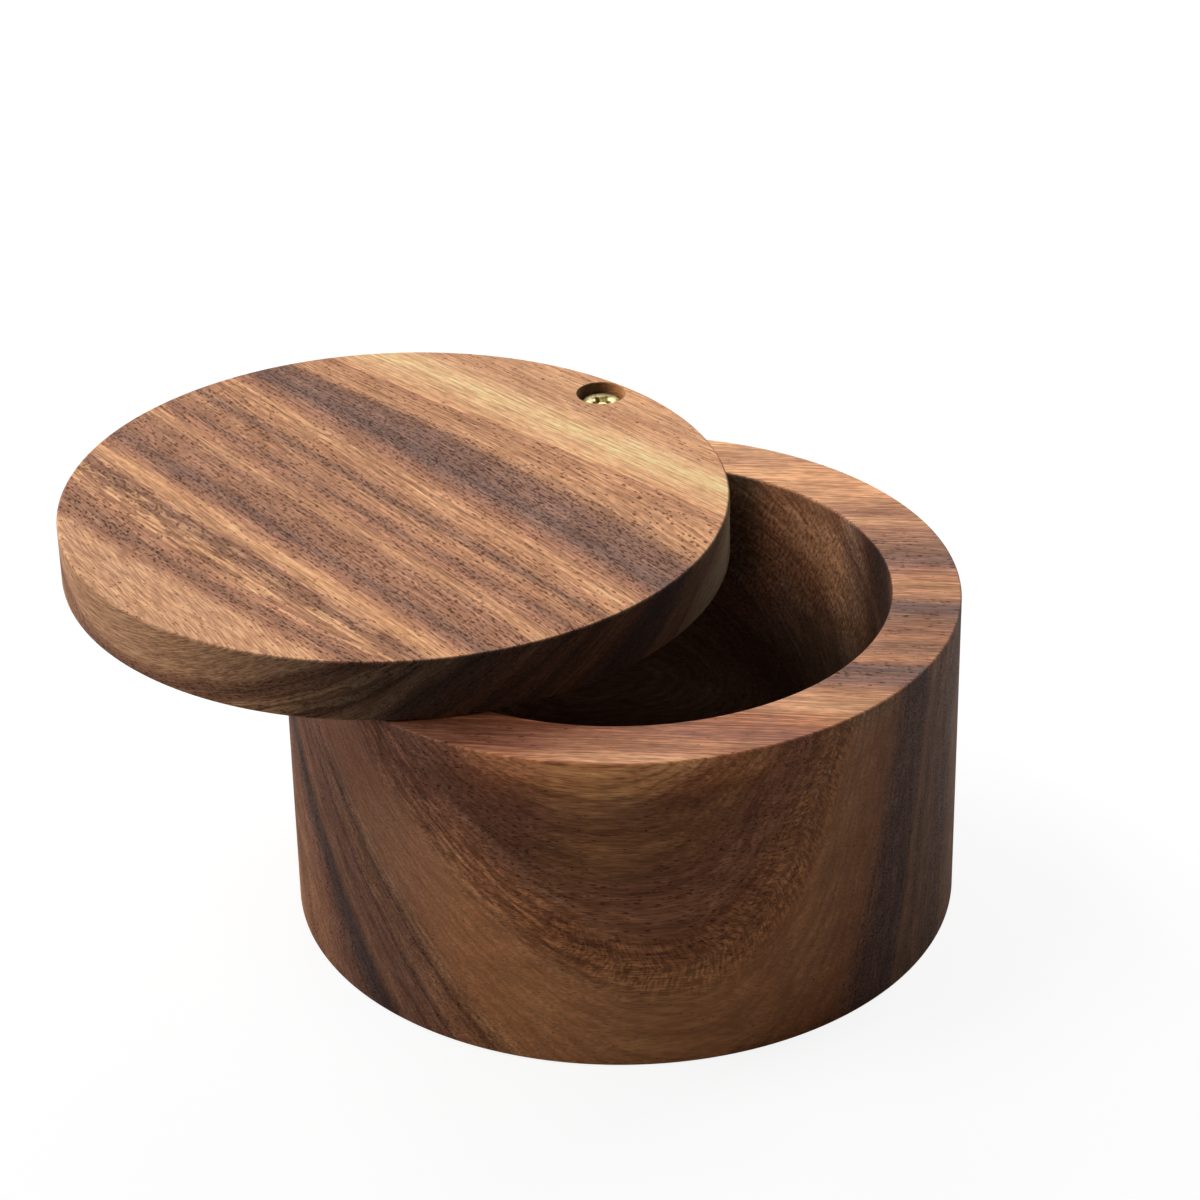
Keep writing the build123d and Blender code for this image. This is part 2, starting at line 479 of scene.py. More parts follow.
@dataclass(frozen=True)
class BowlAcacia(Acacia):
    """The bowl's block: layers that rise towards the back, so that the turned front shows them as a U."""

    height: float = 64.0
    side_radius: float = 63.5
    cavity_radius: float = 50.5
    skew: float = 0.17  # depth gained for each millimetre along the grain
    rise: float = 0.36  # depth gained for each millimetre below the rim
    twist: float = 0.0045  # how much the rise falls for each millimetre along the grain
    dip: float = 0.25  # what the inside wall adds to the rise
    settle: float = 10.0  # how far the deeper layers lean out below the rim
    settle_drop: float = 22.0  # and how far down that takes
    settle_depths: Range = (-26.0, -16.0)
    skin: Range = (1.0, 5.0)  # how far below the rim the side's own figure sets in
    plain_depths: Range = (-45.5, -34.0)  # from the foot to the top of the plain wood
    plain_evenness: float = 0.45
    golden_tint: Triple = (1.0, 0.87, 0.78)  # of the plain wood
    flank: tuple[tuple[float, Tone], ...] = ()  # the layers at the grain's left end
    flank_reach: Range = (-6.0, -24.0)
    purple_tint: Triple = (0.84, 0.78, 0.80)  # of the left end, near the rim
    purple_drop: Range = (26.0, 12.0)
    blur: float = 0.65  # how far the right end's layers fade into one tone
    blur_reach: Range = (44.0, 54.0)
    curl_centre: tuple[float, float] = (-5.0, 64.0)
    curl_radius: float = 42.0
    curl_depth: float = -48.4
    curl_reach: float = 1.9  # half the band's depth at the foot of the U
    curl_widening: float = 1.6  # what its arms add to that
    curl_edge: Range = (-0.7, 0.9)
    curl_dark: Triple = (0.78, 0.70, 0.64)
    curl_light: Triple = (1.30, 1.24, 1.12)
    line_cell: Triple = (5.0, 0.6, 12.0)
    stroke_cell: Triple = (0.52, 1.2, 2.2)
    stroke_slant: float = 1.1  # how far a stroke goes sideways for each millimetre from the band's middle
    stroke_angles: Range = (-114.0, -92.0)  # where strokes take over from lines, in degrees
    # painted shade on the upper front of the turned side, inside the U
    front_shade_depths: Range = (-52.5, -55.8)  # where the painted shade lies across the layers, inside the U
    front_shade_drop: Range = (1.5, 7.0)
    front_shade_tint: Triple = (0.62, 0.56, 0.51)
    painted_side_tint: Triple = (0.97, 0.91, 0.83)  # painted: the turned side's tint against the grey sheen and bounce light it catches
    rim_pores: float = 0.7  # the share that sanding leaves open on the rim
    # painted shade: the hollow darker and cooler all over
    hollow_shade_tint: Triple = (0.79, 0.88, 1.02)
    hollow_roughness: float = 0.25  # what torn fibres add
    fuzz_cell: Triple = (0.6, 1.6, 8.0)
    fuzz_slant: float = 0.35
    fuzz_swing: tuple[float, float] = (0.66, 1.40)
    fuzz_height: float = 50.0  # the middle of the fuzzy band
    fuzz_reach: Range = (13.5, 10.0)  # how far the band goes up and down from there
    dull_heights: Range = (40.0, 22.0)
    dullness: float = 0.5  # how far the hollow's foot fades into one tone
    rim_patches: tuple[Patch, ...] = ()
    side_patches: tuple[Patch, ...] = ()
    hollow_patches: tuple[Patch, ...] = ()

    def layer_depth(self, tree: Tree, place: Feed, along: Feed, across: Feed, height: Feed) -> Node:
        """Give the depth: tilted flat layers with a slow twist along the grain."""
        drop = add_node(tree, "Math", (self.height, height), operation="SUBTRACT")
        slope = add_node(tree, "Math", (along, -self.twist, self.rise), operation="MULTIPLY_ADD")
        tilted = add_node(tree, "Math", (drop, slope, across), operation="MULTIPLY_ADD")
        begin, full = self.cavity_radius + 1.5, self.cavity_radius + 0.2
        inner = add_node(tree, "MapRange", (self.radius(tree, place), begin, full, 0.0, self.dip))
        tilted = add_node(tree, "Math", (drop, inner, tilted), operation="MULTIPLY_ADD")
        depth = add_node(tree, "Math", (along, self.skew, tilted), operation="MULTIPLY_ADD")
        lean = add_node(tree, "MapRange", (drop, 0.0, self.settle_drop, 0.0, self.settle),
                        interpolation_type="SMOOTHSTEP")
        deeper = add_node(tree, "MapRange", (depth, *self.settle_depths))
        return add_node(tree, "Math", (deeper, lean, depth), operation="MULTIPLY_ADD")

    def radius(self, tree: Tree, place: Feed) -> Socket:
        """Give how far each point lies from the bowl's axis."""
        flat = add_node(tree, "VectorMath", (place, (1.0, 1.0, 0.0)), operation="MULTIPLY")
        return add_node(tree, "VectorMath", (flat,), operation="LENGTH").outputs["Value"]

    def block_colour(self, tree: Tree, depth: Feed, along: Feed, height: Feed) -> tuple[Feed, Feed]:
        """Colour the block by its layers: thin lines towards its left end, blurred at its right end.

        Args:
            tree: The material's tree.
            depth: The point's depth across the layers.
            along: The place along the grain.
            height: The height in the block.

        Returns:
            The colour and the share of open pores.
        """
        colour, pore_share = super().block_colour(tree, depth, along, height)
        flank, flank_share = self.layered_colour(tree, depth, self.flank)
        left = add_node(tree, "MapRange", (along, *self.flank_reach), interpolation_type="SMOOTHSTEP")
        upper = self.below_rim(tree, height, self.purple_drop)
        purple = add_node(tree, "VectorMath", (flank, self.purple_tint), operation="MULTIPLY")
        flank = add_node(tree, "Mix", (upper, flank, purple), data_type="RGBA")
        colour = add_node(tree, "Mix", (left, colour, flank), data_type="RGBA")
        right = add_node(tree, "MapRange", (along, *self.blur_reach, 0.0, self.blur))
        sunk = self.below_rim(tree, height, self.skin)
        blurred = add_node(tree, "Math", (right, sunk), operation="MULTIPLY")
        colour = add_node(tree, "Mix", (blurred, colour, Tone.UMBER.stop()), data_type="RGBA")
        golden = add_node(tree, "VectorMath", (colour, self.golden_tint), operation="MULTIPLY")
        plain = self.plain(tree, depth, height)
        colour = add_node(tree, "Mix", (plain, colour, golden), data_type="RGBA")
        pore_share = add_node(tree, "Mix", (left, pore_share, flank_share))
        brink, rim = self.height - 1.5, self.height - 0.3
        filled = add_node(tree, "MapRange", (height, brink, rim, 1.0, self.rim_pores))
        return colour, add_node(tree, "Math", (pore_share, filled), operation="MULTIPLY")

    def below_rim(self, tree: Tree, height: Feed, drop: Range) -> Node:
        """Give a share that goes from 0 to 1 between two drops below the rim."""
        return add_node(tree, "MapRange", (height, *(self.height - end for end in drop)))

    def evenness(self, tree: Tree, depth: Feed, height: Feed) -> Feed:
        """Leave the pale wood below the curly band plain."""
        plain = self.plain(tree, depth, height)
        return add_node(tree, "Math", (plain, self.plain_evenness), operation="MULTIPLY")

    def plain(self, tree: Tree, depth: Feed, height: Feed) -> Node:
        """Give how far each point lies in the pale wood between the curly band and the dark streaks."""
        low, high = self.plain_depths
        above = add_node(tree, "MapRange", (depth, low - 1.5, low + 1.0))
        below = add_node(tree, "MapRange", (depth, high + 1.0, high - 1.0))
        sunk = self.below_rim(tree, height, self.skin)
        plain = add_node(tree, "Math", (above, below), operation="MULTIPLY")
        return add_node(tree, "Math", (plain, sunk), operation="MULTIPLY")

    def figure(self, tree: Tree, colour: Feed, place: Feed, depth: Feed) -> Feed:
        """Paint shade inside the U below the rim, and draw its curly band: lines at the left, herringbone at
        the right.
        """
        along, _, height = add_node(tree, "SeparateXYZ", (place,)).outputs
        colour = self.front_shade(tree, colour, depth, height)
        aside = add_node(tree, "Math", (along, self.curl_centre[0]), operation="SUBTRACT")
        below = add_node(tree, "Math", (height, self.curl_centre[1]), operation="SUBTRACT")
        angle = add_node(tree, "Math", (below, aside), operation="ARCTAN2")
        course = add_node(tree, "Math", (angle, self.curl_radius), operation="MULTIPLY")
        sideways = add_node(tree, "Math", (angle,), operation="COSINE")
        off_middle = add_node(tree, "Math", (depth, self.curl_depth), operation="SUBTRACT")
        off_middle = add_node(tree, "Math", (sideways, -1.0, off_middle), operation="MULTIPLY_ADD")
        off_middle = add_node(tree, "Math", (off_middle,), operation="ABSOLUTE")
        arm = add_node(tree, "Math", (sideways,), operation="ABSOLUTE")
        reach = add_node(tree, "Math", (arm, self.curl_widening, self.curl_reach), operation="MULTIPLY_ADD")
        slanted = add_node(tree, "Math", (off_middle, self.stroke_slant, course), operation="MULTIPLY_ADD")
        strokes = self.stretched_noise(tree, self.stroke_cell, (slanted, depth, height), 1.0)
        lines = self.stretched_noise(tree, self.line_cell, (course, depth, height), 1.0)
        right = add_node(tree, "MapRange", (angle, *map(math.radians, self.stroke_angles)))
        curl = add_node(tree, "Mix", (right, lines, strokes))
        curl = add_node(tree, "MapRange", (curl, 0.56, 0.44), interpolation_type="SMOOTHSTEP")
        inside = add_node(tree, "Math", (reach, off_middle), operation="SUBTRACT")
        edge = add_node(tree, "MapRange", (inside, *self.curl_edge))
        darker = add_node(tree, "VectorMath", (colour, self.curl_dark), operation="MULTIPLY")
        lighter = add_node(tree, "VectorMath", (colour, self.curl_light), operation="MULTIPLY")
        curled = add_node(tree, "Mix", (curl, lighter, darker), data_type="RGBA")
        return add_node(tree, "Mix", (edge, colour, curled), data_type="RGBA")

    def front_shade(self, tree: Tree, colour: Feed, depth: Feed, height: Feed) -> Node:
        """Darken the wood inside the U from just below the rim: painted shade on the upper front."""
        sunk = self.below_rim(tree, height, self.front_shade_drop)
        within = add_node(tree, "MapRange", (depth, *self.front_shade_depths), interpolation_type="SMOOTHSTEP")
        share = add_node(tree, "Math", (sunk, within), operation="MULTIPLY")
        dark = add_node(tree, "VectorMath", (colour, self.front_shade_tint), operation="MULTIPLY")
        return add_node(tree, "Mix", (share, colour, dark), data_type="RGBA")

    def worked_faces(self, tree: Tree, colour: Feed, pore: Feed, place: Feed) -> tuple[Feed, Feed]:
        """Tint the side against the sheen it catches; the hollow gets painted shade and its tool's roughness.
        """
        colour, rough = super().worked_faces(tree, colour, pore, place)
        radius = self.radius(tree, place)
        outside = add_node(tree, "MapRange", (radius, self.side_radius - 0.5, self.side_radius - 0.1))
        # painted: the side's tint counters the sheen and bounce light that it catches
        warm = add_node(tree, "VectorMath", (colour, self.painted_side_tint), operation="MULTIPLY")
        along, across, height = add_node(tree, "SeparateXYZ", (place,)).outputs
        angle = add_node(tree, "Math", (across, along), operation="ARCTAN2")
        warm = self.patched(tree, warm, self.side_patches, angle, height)
        colour = self.patched(tree, colour, self.rim_patches, angle, height)
        colour = add_node(tree, "Mix", (outside, colour, warm), data_type="RGBA")
        hollow = add_node(tree, "MapRange", (radius, self.cavity_radius + 0.3, self.cavity_radius + 0.05))
        colour = add_node(tree, "Mix", (hollow, colour, self.hollow_colour(tree, colour, place)),
                          data_type="RGBA")
        rough = add_node(tree, "Math", (hollow, self.hollow_roughness, rough), operation="MULTIPLY_ADD")
        return colour, rough

    def hollow_colour(self, tree: Tree, colour: Feed, place: Feed) -> Node:
        """Colour the hollow: fuzzy with torn fibres, dull low down, with painted shade low down and on its
        back wall.

        Args:
            tree: The material's tree.
            colour: The wood's colour.
            place: The point in the block's own axes.

        Returns:
            The hollow's colour.
        """
        along, across, height = add_node(tree, "SeparateXYZ", (place,)).outputs
        angle = add_node(tree, "Math", (across, along), operation="ARCTAN2")
        course = add_node(tree, "Math", (angle, self.cavity_radius), operation="MULTIPLY")
        slanted = add_node(tree, "Math", (height, self.fuzz_slant, course), operation="MULTIPLY_ADD")
        fuzz = self.stretched_noise(tree, self.fuzz_cell, (slanted, height, 0.0), 2.0)
        shade = add_node(tree, "MapRange", (fuzz, 0.35, 0.65, *self.fuzz_swing))
        off_middle = add_node(tree, "Math", (height, self.fuzz_height), operation="SUBTRACT")
        off_middle = add_node(tree, "Math", (off_middle,), operation="ABSOLUTE")
        fuzzy = add_node(tree, "MapRange", (off_middle, *self.fuzz_reach))
        shade = add_node(tree, "Mix", (fuzzy, 1.0, shade))
        colour = add_node(tree, "VectorMath", {0: colour, "Scale": shade}, operation="SCALE")
        low = add_node(tree, "MapRange", (height, *self.dull_heights, 0.0, self.dullness))
        colour = add_node(tree, "Mix", (low, colour, Tone.UMBER.stop()), data_type="RGBA")
        # painted shade: the hollow's darker, cooler cast
        colour = add_node(tree, "VectorMath", (colour, self.hollow_shade_tint), operation="MULTIPLY")
        return self.patched(tree, colour, self.hollow_patches, angle, height)

    def patched(
        self, tree: Tree, colour: Feed, patches: tuple[Patch, ...], angle: Feed, height: Feed,
    ) -> Feed:
        """Tint the wood patch by patch.

        Args:
            tree: The material's tree.
            colour: The wood's colour.
            patches: The patches, one over another.
            angle: The point's angle about the bowl's axis.
            height: The point's height.

        Returns:
            The tinted colour.
        """
        for patch in patches:
            share: Feed = 1.0
            for edge in patch.angles:
                within = add_node(tree, "MapRange", (angle, *map(math.radians, edge)),
                                  interpolation_type="SMOOTHSTEP")
                share = add_node(tree, "Math", (share, within), operation="MULTIPLY")
            within = add_node(tree, "MapRange", (height, *patch.heights), interpolation_type="SMOOTHSTEP")
            share = add_node(tree, "Math", (share, within), operation="MULTIPLY")
            tinted = add_node(tree, "VectorMath", (colour, patch.tint), operation="MULTIPLY")
            colour = add_node(tree, "Mix", (share, colour, tinted), data_type="RGBA")
        return colour


@dataclass(frozen=True)
class LidAcacia(Acacia):
    """The lid's block: near upright layers that cross its top as straight bands."""

    top: float = 76.15
    fan: float = 0.125  # depth gained for each millimetre along the grain, in the lid's front half
    fan_places: Range = (34.0, 16.0)  # across the grain, from the back
    brink_fan: float = 0.45  # the share of the fan that is left at the front
    brink_places: Range = (-50.0, -38.0)
    steepness: float = 1.5  # depth gained for each millimetre below the top
    grain_lean: float = 0.07  # how steeply the fine grain crosses the layers
    stroke_lean: float = 0.30  # and the strokes near the front
    stroke_cell: Triple = (4.6, 0.42, 1.0)
    stroke_swing: tuple[float, float] = (1.22, 0.66)
    stroke_warmth: float = 1.3  # a power over 1 swings green and blue more than red
    stroke_depths: Range = (-47.0, -50.0)
    stroke_evenness: float = 0.5
    lobe_start: float = -66.0  # along the grain; the lobes grow longer from there
    flame_cell: Triple = (0.55, 0.9, 3.0)  # of the left lobes
    lens_cell: Triple = (0.95, 2.1, 5.0)  # of the right ones
    lens_reach: Range = (-16.0, 14.0)
    lobe_level: float = 0.47  # the noise's value on a lobe's outline
    lobe_swing: tuple[float, float] = (0.80, 1.36)
    lobe_outline: float = 0.70
    lobe_warmth: float = 1.25
    lobe_front: Range = (-45.0, -42.5)
    lobe_back: Range = (-32.5, -34.5)
    sapwood_depths: Range = (33.0, 36.0)
    sapwood_evenness: float = 0.15
    painted_light_reach: Range = (-15.0, 25.0)
    painted_light_swing: tuple[float, float] = (0.95, 1.08)  # painted light: brighter from the left end to the right one
    lift: float = 0.9  # a power under 1 lifts the dark layers more than the pale ones
    lift_tint: Triple = (1.11, 1.08, 1.03)

    def layer_depth(self, tree: Tree, place: Feed, along: Feed, across: Feed, height: Feed) -> Node:
        """Give the depth: bands along the grain that fan out a little towards the front."""
        front = add_node(tree, "MapRange", (across, *self.fan_places, 0.0, self.fan),
                         interpolation_type="SMOOTHSTEP")
        brink = add_node(tree, "MapRange", (across, *self.brink_places, self.brink_fan, 1.0),
                         interpolation_type="SMOOTHSTEP")
        slope = add_node(tree, "Math", (front, brink), operation="MULTIPLY")
        depth = add_node(tree, "Math", (along, slope, across), operation="MULTIPLY_ADD")
        drop = add_node(tree, "Math", (self.top, height), operation="SUBTRACT")
        return add_node(tree, "Math", (drop, self.steepness, depth), operation="MULTIPLY_ADD")

    def figure(self, tree: Tree, colour: Feed, place: Feed, depth: Feed) -> Feed:
        """Draw the pointed lobes near the front, and the slanted dark strokes in front of them."""
        along, _, height = add_node(tree, "SeparateXYZ", (place,)).outputs
        colour = self.lobes(tree, colour, along, depth, height)
        leaning = add_node(tree, "Math", (along, self.stroke_lean, depth), operation="MULTIPLY_ADD")
        strokes = self.stretched_noise(tree, self.stroke_cell, (along, leaning, height), 2.0)
        light = add_node(tree, "MapRange", (strokes, 0.37, 0.63, *self.stroke_swing))
        tint = add_node(tree, "Math", (light, self.stroke_warmth), operation="POWER")
        tint = add_node(tree, "CombineXYZ", (light, tint, tint))
        stroked = add_node(tree, "VectorMath", (colour, tint), operation="MULTIPLY")
        front = add_node(tree, "MapRange", (depth, *self.stroke_depths), interpolation_type="SMOOTHSTEP")
        return add_node(tree, "Mix", (front, colour, stroked), data_type="RGBA")

    def lobes(self, tree: Tree, colour: Feed, along: Feed, depth: Feed, height: Feed) -> Node:
        """Draw the lobes: straw inside, a thin dark outline, short at the left and long at the right.

        Args:
            tree: The material's tree.
            colour: The layers' colour.
            along: The place along the grain.
            depth: The point's depth across the layers.
            height: The height in the block.

        Returns:
            The colour with its lobes.
        """
        course = add_node(tree, "Math", (along, self.lobe_start), operation="SUBTRACT")
        course = add_node(tree, "Math", (course, 0.5), operation="POWER")
        flames = self.stretched_noise(tree, self.flame_cell, (course, depth, height), 1.0)
        lenses = self.stretched_noise(tree, self.lens_cell, (course, depth, height), 1.0)
        right = add_node(tree, "MapRange", (along, *self.lens_reach))
        field = add_node(tree, "Mix", (right, flames, lenses))
        inside = add_node(tree, "MapRange", (field, self.lobe_level, self.lobe_level + 0.1, *self.lobe_swing),
                          interpolation_type="SMOOTHSTEP")
        off_line = add_node(tree, "Math", (field, self.lobe_level), operation="SUBTRACT")
        off_line = add_node(tree, "Math", (off_line,), operation="ABSOLUTE")
        outline = add_node(tree, "MapRange", (off_line, 0.0, 0.03, self.lobe_outline, 1.0),
                           interpolation_type="SMOOTHSTEP")
        light = add_node(tree, "Math", (inside, outline), operation="MULTIPLY")
        tint = add_node(tree, "Math", (light, self.lobe_warmth), operation="POWER")
        tint = add_node(tree, "CombineXYZ", (light, tint, tint))
        figured = add_node(tree, "VectorMath", (colour, tint), operation="MULTIPLY")
        front = add_node(tree, "MapRange", (depth, *self.lobe_front), interpolation_type="SMOOTHSTEP")
        back = add_node(tree, "MapRange", (depth, *self.lobe_back), interpolation_type="SMOOTHSTEP")
        zone = add_node(tree, "Math", (front, back), operation="MULTIPLY")
        return add_node(tree, "Mix", (zone, colour, figured), data_type="RGBA")

    def evenness(self, tree: Tree, depth: Feed, height: Feed) -> Feed:
        """Leave half of the variation out where the strokes are, and a little of it in the sapwood."""
        front = add_node(tree, "MapRange", (depth, *self.stroke_depths, 0.0, self.stroke_evenness))
        back = add_node(tree, "MapRange", (depth, *self.sapwood_depths, 0.0, self.sapwood_evenness))
        return add_node(tree, "Math", (front, back), operation="ADD")

    def streak_lean(self, tree: Tree, along: Feed, across: Feed, depth: Feed) -> Feed:
        """Slant the fine grain a little against the layers."""
        return add_node(tree, "Math", (along, self.grain_lean, depth), operation="MULTIPLY_ADD")

    def worked_faces(self, tree: Tree, colour: Feed, pore: Feed, place: Feed) -> tuple[Feed, Feed]:
        """Lift the lid's tones above the bowl's, and brighten it towards its right end as painted light."""
        colour, rough = super().worked_faces(tree, colour, pore, place)
        along = add_node(tree, "SeparateXYZ", (place,)).outputs["X"]
        # painted light, brighter towards the lid's right end
        light = add_node(tree, "MapRange", (along, *self.painted_light_reach, *self.painted_light_swing),
                         interpolation_type="SMOOTHSTEP")
        colour = add_node(tree, "Gamma", (colour, self.lift))
        colour = add_node(tree, "VectorMath", (colour, self.lift_tint), operation="MULTIPLY")
        colour = add_node(tree, "VectorMath", {0: colour, "Scale": light}, operation="SCALE")
        return add_node(tree, "VectorMath", (colour, (1.0, 1.0, 1.0)), operation="MINIMUM"), rough


# ---------------------------------------------------------------------------------------------------------
# Brass
# ---------------------------------------------------------------------------------------------------------

@dataclass(frozen=True)
class Brass:
    """Brass, cold headed and lightly tarnished: yellow metal with fine turning lines and olive stains."""

    name: str = "tumbled_brass"
    bright: str = "#C9BD90"
    dull: str = "#85764C"
    stain_size: float = 1.6
    stain_spread: Range = (0.4, 0.66)
    line_pitch: float = 0.12  # of the tool's lines, drawn coarser than real so that they show
    line_depth: float = 0.02
    smoothest: float = 0.32
    roughest: float = 0.52

    def material(self) -> bpy.types.Material:
        """Build the metal's material."""
        material = new_material(self.name)
        tree = material.node_tree
        place = add_node(tree, "Mapping", {
            "Vector": add_node(tree, "TexCoord").outputs["Object"], "Scale": (1 / MM,) * 3,
        })
        stain = add_node(tree, "TexNoise", {"Vector": place, "Scale": 1 / self.stain_size, "Detail": 4.0})
        share = add_node(tree, "MapRange", (stain, *self.stain_spread), interpolation_type="SMOOTHSTEP")
        colour = add_node(tree, "Mix", (share, linear(self.bright), linear(self.dull)), data_type="RGBA")
        rough = add_node(tree, "MapRange", (stain, *NOISE_SPAN, self.smoothest, self.roughest))
        lines = add_node(tree, "TexNoise", {"Vector": place, "Scale": 1 / self.line_pitch, "Detail": 2.0})
        relief = add_node(tree, "Bump", {"Strength": 0.25, "Distance": self.line_depth * MM, "Height": lines})
        shader = add_node(tree, "BsdfPrincipled", {
            "Base Color": colour, "Metallic": 1.0, "Roughness": rough, "Normal": relief,
        })
        add_node(tree, "OutputMaterial", (shader,))
        return material


# ---------------------------------------------------------------------------------------------------------
# Modelling bench
# ---------------------------------------------------------------------------------------------------------

class Bench:
    """One piece at a time, shaped with the mesh operators. Sizes are in millimetres, in the part's frame."""

    def __init__(
        self, name: str, radius: float, low: float, high: float,
        centre: tuple[float, float] = (0.0, 0.0), sides: int = 256,
    ) -> None:
        """Start a piece as a round blank.

        Args:
            name: The piece's name.
            radius: The blank's radius.
            low: The height of its underside.
            high: The height of its top.
            centre: Where its axis stands.
            sides: How many sides its round has.
        """
        bpy.ops.object.select_all(action="DESELECT")
        middle = Vector((*centre, (low + high) / 2)) * MM
        bpy.ops.mesh.primitive_cylinder_add(
            vertices=sides, radius=radius * MM, depth=(high - low) * MM, location=middle)
        self.piece = bpy.context.active_object
        self.piece.name = self.piece.data.name = name
        self.centre = centre
        bpy.ops.object.transform_apply(location=True, rotation=True, scale=True)
        bpy.ops.object.mode_set(mode="EDIT")

    def pick_faces(self, wanted: Callable[[bmesh.types.BMFace], bool]) -> None:
        """Select just the faces that pass a test."""
        bpy.ops.mesh.select_mode(type="FACE")
        mesh = bmesh.from_edit_mesh(self.piece.data)
        for face in mesh.faces:
            face.select_set(wanted(face))
        bmesh.update_edit_mesh(self.piece.data)

    def pick_level(self, height: float) -> None:
        """Select just the flat faces at one height."""
        self.pick_faces(lambda face: all(abs(v.co.z / MM - height) < SNAP for v in face.verts))

    def pick_ring(self, radius: float, height: float) -> None:
        """Select just the round of edges of one radius at one height."""
        bpy.ops.mesh.select_all(action="DESELECT")
        bpy.ops.mesh.select_mode(type="EDGE")
        mesh = bmesh.from_edit_mesh(self.piece.data)
        for edge in mesh.edges:
            edge.select_set(all(self.on_ring(v.co, radius, height) for v in edge.verts))
        bmesh.update_edit_mesh(self.piece.data)

    def on_ring(self, corner: Vector, radius: float, height: float) -> bool:
        """Tell whether a corner lies on a ring about the piece's axis."""
        spread = math.hypot(corner.x / MM - self.centre[0], corner.y / MM - self.centre[1])
        return abs(spread - radius) < SNAP and abs(corner.z / MM - height) < SNAP

    def inset(self, width: float) -> None:
        """Inset the selected face."""
        bpy.ops.mesh.inset(thickness=width * MM, depth=0.0, use_even_offset=True)

    def raise_face(self, rise: float) -> None:
        """Extrude the selected face up, or down where the rise is negative."""
        bpy.ops.mesh.extrude_region_move(TRANSFORM_OT_translate={"value": (0.0, 0.0, rise * MM)})

    def spread(self, factor: float) -> None:
        """Scale the selection about the piece's axis."""
        bpy.ops.transform.resize(
            value=(factor, factor, 1.0), center_override=(self.centre[0] * MM, self.centre[1] * MM, 0.0))

    def follow(self, outline: Sequence[tuple[float, float]]) -> None:
        """Draw the selected face along an outline of radius and height, which begins where the face is."""
        for (radius, height), (next_radius, next_height) in zip(outline, outline[1:]):
            self.raise_face(next_height - height)
            self.spread(next_radius / radius)

    def ease(self, radius: float, height: float, easing: float, segments: int) -> None:
        """Round off the edge of one radius at one height."""
        self.pick_ring(radius, height)
        bpy.ops.mesh.bevel(offset=easing * MM, segments=segments, profile=0.5, affect="EDGES",
                           clamp_overlap=False)

    def cut(self, cutter: "Bench") -> None:
        """Cut another piece's shape out of this one, and clear the other away."""
        tool = cutter.leave()
        self.take_up()
        boolean = self.piece.modifiers.new("cut", "BOOLEAN")
        boolean.object = tool
        boolean.operation = "DIFFERENCE"
        boolean.solver = "EXACT"
        bpy.ops.object.modifier_apply(modifier=boolean.name)
        bpy.data.objects.remove(tool)
        bpy.ops.object.mode_set(mode="EDIT")
        bpy.ops.mesh.select_all(action="SELECT")
        bpy.ops.mesh.remove_doubles(threshold=CRUMB * MM)
        bpy.ops.mesh.dissolve_degenerate(threshold=CRUMB * MM)
        bpy.ops.object.mode_set(mode="OBJECT")

    def take_up(self) -> None:
        """Select just this piece, and make it the active one."""
        bpy.ops.object.select_all(action="DESELECT")
        self.piece.select_set(True)
        bpy.context.view_layer.objects.active = self.piece

    def leave(self) -> bpy.types.Object:
        """Leave edit mode and hand over the piece as it is."""
        if bpy.context.mode == "EDIT_MESH":
            bpy.ops.object.mode_set(mode="OBJECT")
        return self.piece

    def finish(self, material: bpy.types.Material) -> bpy.types.Object:
        """Smooth the piece's rounds, keep its flats flat and dress it.

        Args:
            material: The piece's material.

        Returns:
            The finished piece.
        """
        piece = self.leave()
        self.take_up()
        piece.data.materials.clear()
        piece.data.materials.append(material)
        bpy.ops.object.shade_smooth_by_angle(angle=SMOOTH_ANGLE)
        weights = piece.modifiers.new("flats", "WEIGHTED_NORMAL")
        weights.keep_sharp = True
        bpy.ops.object.modifier_apply(modifier=weights.name)
        log.info("%s: %d faces", piece.name, len(piece.data.polygons))
        return piece


def hand_over(piece: bpy.types.Object, node: str, body: str) -> None:
    """Put a finished piece in a CAD node's place: the node is hidden, and the piece rides on the node's body.
    """
    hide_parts(node)
    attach(piece, body)


# ---------------------------------------------------------------------------------------------------------
# The pivot: where it stands, its screw and its washer
# ---------------------------------------------------------------------------------------------------------

@dataclass(frozen=True)
class Span:
    """A CAD node's place in millimetres: its box's centre, half its width, and its lowest and highest."""

    centre: tuple[float, float]
    radius: float
    low: float
    high: float

    @classmethod
    def of(cls, node: str) -> "Span":
        """Read a node's place from the frame."""
        low, high = (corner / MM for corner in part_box(node))
        return cls(((low.x + high.x) / 2, (low.y + high.y) / 2), (high.x - low.x) / 2, low.z, high.z)


